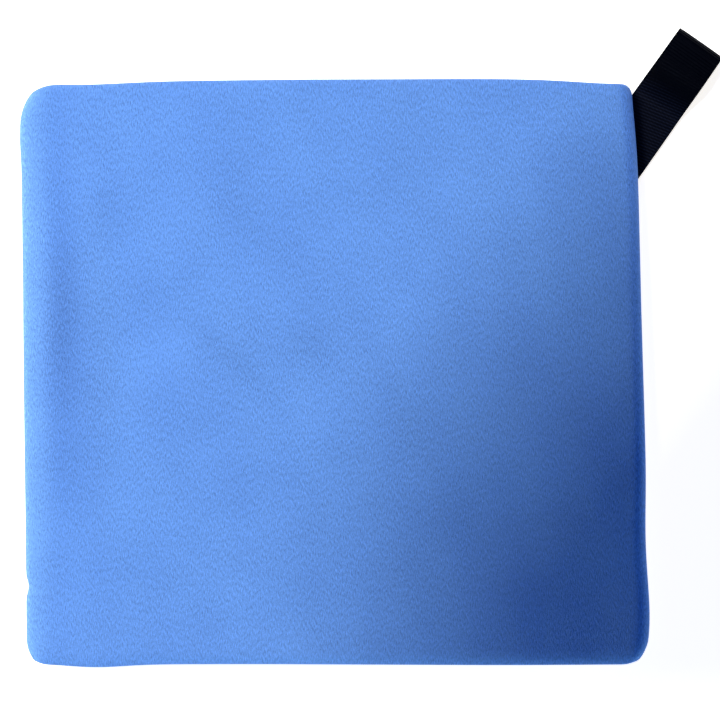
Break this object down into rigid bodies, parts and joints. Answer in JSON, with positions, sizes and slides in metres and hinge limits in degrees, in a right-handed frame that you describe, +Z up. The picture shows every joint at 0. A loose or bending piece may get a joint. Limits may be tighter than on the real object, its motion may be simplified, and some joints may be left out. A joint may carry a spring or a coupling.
{
  "type": "folded travel towel",
  "caption": "Quick dry microfibre suede towel, folded flat into a near-square pack, with a black ribbon hanging loop at one corner.",
  "frame": {"origin": "middle of the folded pack's underside, on the surface that it rests on", "axes": "+Z up through the stack of plies, +X along the towel's length towards the end with the hanging loop, +Y across its width towards the loop's corner"},
  "size_m": [0.2266, 0.2052, 0.0141],
  "materials": {
    "microfibre_suede": "fine brushed suede nap, matt, with a soft sheen at the folds",
    "overlock_thread": "overlocked polyester thread in the cloth's blue",
    "black_ribbon": "ribbed grosgrain, near black, low sheen along the ribs",
    "black_thread": "bar-tack stitching, near black",
    "white_satin": "blank woven satin"
  },
  "bodies": {
    "bottom": {"cloth_panel_1": "microfibre_suede", "inner_edge_hem_1": "overlock_thread", "outer_edge_hem_1": "overlock_thread", "cloth_panel_6": "microfibre_suede", "inner_edge_hem_6": "overlock_thread", "outer_edge_hem_6": "overlock_thread", "end_hem_first": "overlock_thread", "end_hem_last": "overlock_thread", "hang_loop_tail": "black_ribbon", "bartack_1": "black_thread", "bartack_2": "black_thread", "care_label": "white_satin"},
    "middle": {"cloth_panel_2": "microfibre_suede", "inner_edge_hem_2": "overlock_thread", "outer_edge_hem_2": "overlock_thread", "cloth_panel_5": "microfibre_suede", "inner_edge_hem_5": "overlock_thread", "outer_edge_hem_5": "overlock_thread"},
    "top": {"cloth_panel_3": "microfibre_suede", "inner_edge_hem_3": "overlock_thread", "outer_edge_hem_3": "overlock_thread", "cloth_panel_4": "microfibre_suede", "inner_edge_hem_4": "overlock_thread", "outer_edge_hem_4": "overlock_thread"},
    "hang_loop": {"hang_loop": "black_ribbon"}
  },
  "joints": [
    {"name": "middle_unfold", "type": "hinge", "parent": "bottom", "child": "middle", "pos_m": [-0.1003, 0, 0.00702], "axis": [0, -1, 0], "range_deg": [0, 179]},
    {"name": "top_unfold", "type": "hinge", "parent": "middle", "child": "top", "pos_m": [0.1003, 0, 0.01095], "axis": [0, 1, 0], "range_deg": [0, 179]},
    {"name": "loop_swing", "type": "hinge", "parent": "bottom", "child": "hang_loop", "pos_m": [0.1015, 0.08, 0.00103], "axis": [0, -1, 0], "range_deg": [-80, 40], "deforming": ["hang_loop"]}
  ]
}
